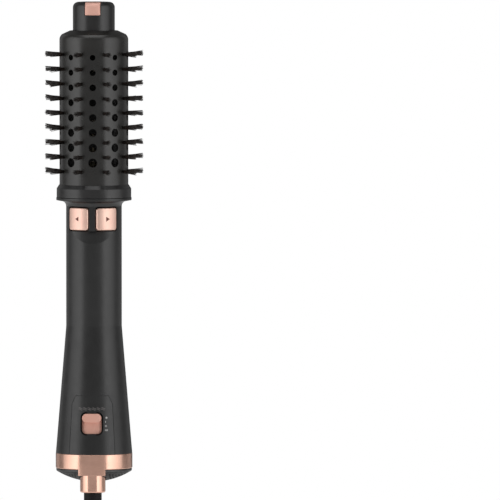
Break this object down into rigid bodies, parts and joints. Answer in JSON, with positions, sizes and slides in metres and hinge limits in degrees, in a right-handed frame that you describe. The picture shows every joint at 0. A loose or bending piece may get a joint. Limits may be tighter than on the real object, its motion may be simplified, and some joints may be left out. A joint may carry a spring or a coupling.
{
  "type": "hot air brush",
  "caption": "Upright rotating hot air styling brush: round perforated bristled head, black grip with rose gold tail ring, buttons and slider, hanging mains cord.",
  "frame": {"origin": "on the handle's axis at the middle of the grip", "axes": "+Z along the axis from the cord end to the tip of the head; -Y is the front with the buttons and the slider; +X is to the right seen from the front"},
  "size_m": [0.0723, 0.0736, 0.6325],
  "materials": {
    "black_plastic": "satin moulded black",
    "grip_black": "fine satin black",
    "rose_gold": "glossy metallised rose gold",
    "slider_gold": "satin metallised rose gold",
    "tab_gold": "brushed metallised rose gold",
    "barrel_black": "satin ceramic coated black",
    "bristle": "nylon filaments",
    "mesh_black": "matt perforated black",
    "foam_black": "open foam",
    "motor_steel": "drawn steel",
    "screw_steel": "blackened steel",
    "gear_white": "natural nylon",
    "board_green": "solder mask",
    "component_dark": "moulded",
    "core_dark": "heat resisting moulding",
    "mica": "mica sheet",
    "nichrome": "oxidised wire",
    "cord_black": "satin PVC",
    "tie_black": "woven tape",
    "pin_metal": "nickel plated",
    "spring_steel": "spring strip"
  },
  "bodies": {
    "handle": {"front_shell": "grip_black", "rear_shell": "grip_black", "shell_screws": "screw_steel", "handle_plate": "grip_black", "switch_panel": "grip_black", "slide_switch": "component_dark", "tail_ring": "rose_gold", "inlet_dome": "mesh_black", "inlet_filter": "foam_black", "cord_clamp": "black_plastic", "power_board": "board_green", "board_parts": "component_dark", "fan_housing": "black_plastic", "fan_motor": "motor_steel", "drive_motor": "motor_steel", "drive_gearbox": "black_plastic", "core_tube": "core_dark", "heater_frame": "mica", "heater_windings": "nichrome", "thermostat": "component_dark", "hub_clip": "spring_steel", "button_carrier": "black_plastic", "tact_switches": "component_dark"},
    "drive_ring": {"drive_ring": "gear_white"},
    "pinion": {"pinion_shaft": "motor_steel", "drive_pinion": "gear_white"},
    "tip_hub": {"tip_hub": "gear_white"},
    "fan_rotor": {"fan_shaft": "motor_steel", "fan_impeller": "gear_white"},
    "brush_head": {"barrel": "barrel_black", "collar": "black_plastic", "head_spider": "black_plastic", "end_cap": "black_plastic", "tab_spring": "spring_steel", "tuft_column_1": "bristle", "tuft_column_2": "bristle", "tuft_column_3": "bristle", "tuft_column_4": "bristle", "tuft_column_5": "bristle", "tuft_column_6": "bristle", "tuft_column_7": "bristle", "tuft_column_8": "bristle", "tuft_column_9": "bristle"},
    "front_tab": {"front_tab": "tab_gold"},
    "rear_tab": {"rear_tab": "tab_gold"},
    "button_left": {"button_left": "rose_gold"},
    "button_right": {"button_right": "rose_gold"},
    "speed_slider": {"speed_slider": "slider_gold"},
    "cord_swivel": {"cord_boot": "cord_black", "cord": "cord_black", "cord_hank": "cord_black", "cord_tie": "tie_black", "plug_body": "cord_black", "plug_pins": "pin_metal"}
  },
  "joints": [
    {"name": "head_spin", "type": "hinge", "parent": "handle", "child": "drive_ring", "pos_m": [0, 0, 0.06], "axis": [0, 0, 1], "continuous": true},
    {"name": "pinion_spin", "type": "hinge", "parent": "handle", "child": "pinion", "pos_m": [0, 0.0133, 0.06], "axis": [0, 0, 1], "continuous": true},
    {"name": "hub_spin", "type": "hinge", "parent": "handle", "child": "tip_hub", "pos_m": [0, 0, 0.17], "axis": [0, 0, 1], "continuous": true},
    {"name": "fan_spin", "type": "hinge", "parent": "handle", "child": "fan_rotor", "pos_m": [0, 0, -0.07], "axis": [0, 0, 1], "continuous": true},
    {"name": "head_pull_off", "type": "slide", "parent": "drive_ring", "child": "brush_head", "axis": [0, 0, 1], "range_m": [0, 0.13]},
    {"name": "front_tab_press", "type": "slide", "parent": "brush_head", "child": "front_tab", "axis": [0, 1, 0], "range_m": [0, 0.0015], "stiffness_N_per_m": 1200, "springref_m": -0.0005, "deforming": ["tab_spring"]},
    {"name": "rear_tab_press", "type": "slide", "parent": "brush_head", "child": "rear_tab", "axis": [0, -1, 0], "range_m": [0, 0.0015], "stiffness_N_per_m": 1200, "springref_m": -0.0005},
    {"name": "left_button_press", "type": "slide", "parent": "handle", "child": "button_left", "axis": [0.5402, 0.8415, 0], "range_m": [0, 0.001], "stiffness_N_per_m": 1500, "springref_m": -0.0004},
    {"name": "right_button_press", "type": "slide", "parent": "handle", "child": "button_right", "axis": [-0.5402, 0.8415, 0], "range_m": [0, 0.001], "stiffness_N_per_m": 1500, "springref_m": -0.0004},
    {"name": "speed_slide", "type": "slide", "parent": "handle", "child": "speed_slider", "axis": [0, -0.0814, -0.9967], "range_m": [0, 0.0083]},
    {"name": "cord_turn", "type": "hinge", "parent": "handle", "child": "cord_swivel", "pos_m": [0, -0.0145, -0.16], "axis": [0, 0, 1], "continuous": true}
  ],
  "couplings": [
    {"joint": "pinion_spin", "follows": "head_spin", "ratio": 4.8},
    {"joint": "hub_spin", "follows": "head_spin", "ratio": 1}
  ]
}
